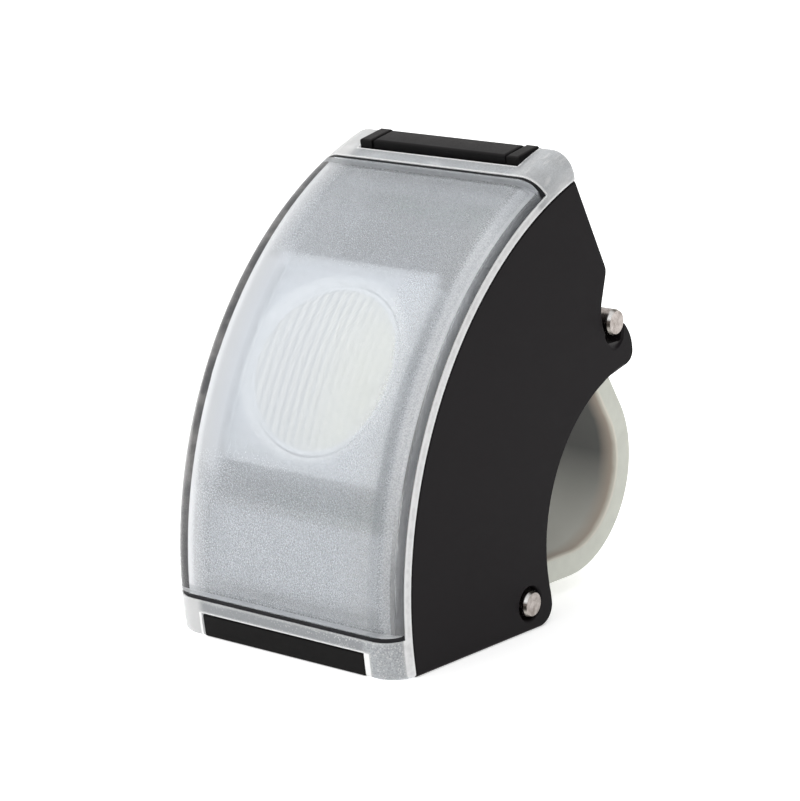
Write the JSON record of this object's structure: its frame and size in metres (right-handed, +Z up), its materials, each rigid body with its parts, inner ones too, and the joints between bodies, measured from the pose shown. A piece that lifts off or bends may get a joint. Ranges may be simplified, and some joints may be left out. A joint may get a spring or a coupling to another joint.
{
  "type": "bicycle headlight",
  "caption": "Compact bicycle headlight with a curved clear front, matt side cheeks and a soft strap that hooks round the handlebar on steel pins.",
  "frame": {"origin": "middle of the footprint box, on the surface the light stands on", "axes": "+X along the handlebar, -Y the way the light shines, +Z up"},
  "size_m": [0.0308, 0.048, 0.0501],
  "materials": {
    "clear_plastic": "clear, glossy",
    "frosted_plastic": "clear with a fine frosting behind",
    "seal_rubber": "matt",
    "diffuser_plastic": "frosted, light scattering",
    "black_plastic": "fine matt",
    "cheek_plastic": "fine matt",
    "button_plastic": "fine matt",
    "grip_rubber": "matt",
    "pin_steel": "turned, bright",
    "strap_silicone": "satin silicone",
    "switch_plastic": "matt",
    "switch_metal": "satin",
    "board_laminate": "satin",
    "led_laminate": "satin white",
    "cover_rubber": "matt",
    "socket_metal": "satin",
    "optic_plastic": "ribbed, slightly milky",
    "carrier_plastic": "matt white",
    "guide_plastic": "milky",
    "led_silicone": "satin",
    "spreader_metal": "plain",
    "battery_foil": "satin foil",
    "foam": "open",
    "chip_resin": "matt",
    "screw_steel": "satin"
  },
  "bodies": {
    "lamp": {"front_shell": "clear_plastic", "window_lens": "frosted_plastic", "window_seal": "seal_rubber", "diffuser_tray": "diffuser_plastic", "rear_housing": "black_plastic", "grip_pad": "grip_rubber", "side_panel_left": "cheek_plastic", "side_panel_right": "cheek_plastic", "lower_pin": "pin_steel", "strap_lower": "strap_silicone", "button_frame": "black_plastic", "tact_switch": "switch_metal", "switch_board": "board_laminate", "usb_socket": "socket_metal", "charge_board": "board_laminate", "optic_disc": "optic_plastic", "optic_carrier": "carrier_plastic", "led_emitter": "led_silicone", "led_board": "led_laminate", "heat_spreader": "spreader_metal", "status_light_guide": "guide_plastic", "battery_cell": "battery_foil", "battery_foam": "foam", "main_board": "board_laminate", "board_chips": "chip_resin", "status_led": "led_silicone", "housing_screws": "screw_steel"},
    "button": {"power_button": "button_plastic", "switch_plunger": "switch_plastic"},
    "cover": {"port_cover": "cover_rubber"},
    "strap_middle": {"strap_back": "strap_silicone"},
    "strap_end": {"strap_upper": "strap_silicone", "upper_pin": "pin_steel"}
  },
  "joints": [
    {"name": "button_press", "type": "slide", "parent": "lamp", "child": "button", "axis": [0, 0.2079, -0.9781], "range_m": [0, 0.0005], "stiffness_N_per_m": 2000, "springref_m": -0.0002},
    {"name": "port_cover_hinge", "type": "hinge", "parent": "lamp", "child": "cover", "pos_m": [0, -0.01395, 0.00075], "axis": [1, 0, 0], "range_deg": [0, 95]},
    {"name": "strap_flex_lower", "type": "hinge", "parent": "lamp", "child": "strap_middle", "pos_m": [0, 0.02405, 0.01325], "axis": [-1, 0, 0], "range_deg": [0, 60], "stiffness_Nm_per_rad": 0.004, "springref_deg": -17.19},
    {"name": "strap_flex_upper", "type": "hinge", "parent": "strap_middle", "child": "strap_end", "pos_m": [0, 0.02206, 0.01965], "axis": [-1, 0, 0], "range_deg": [0, 60], "stiffness_Nm_per_rad": 0.004, "springref_deg": -17.19}
  ],
  "couplings": [
    {"joint": "strap_flex_upper", "follows": "strap_flex_lower", "ratio": 1}
  ]
}
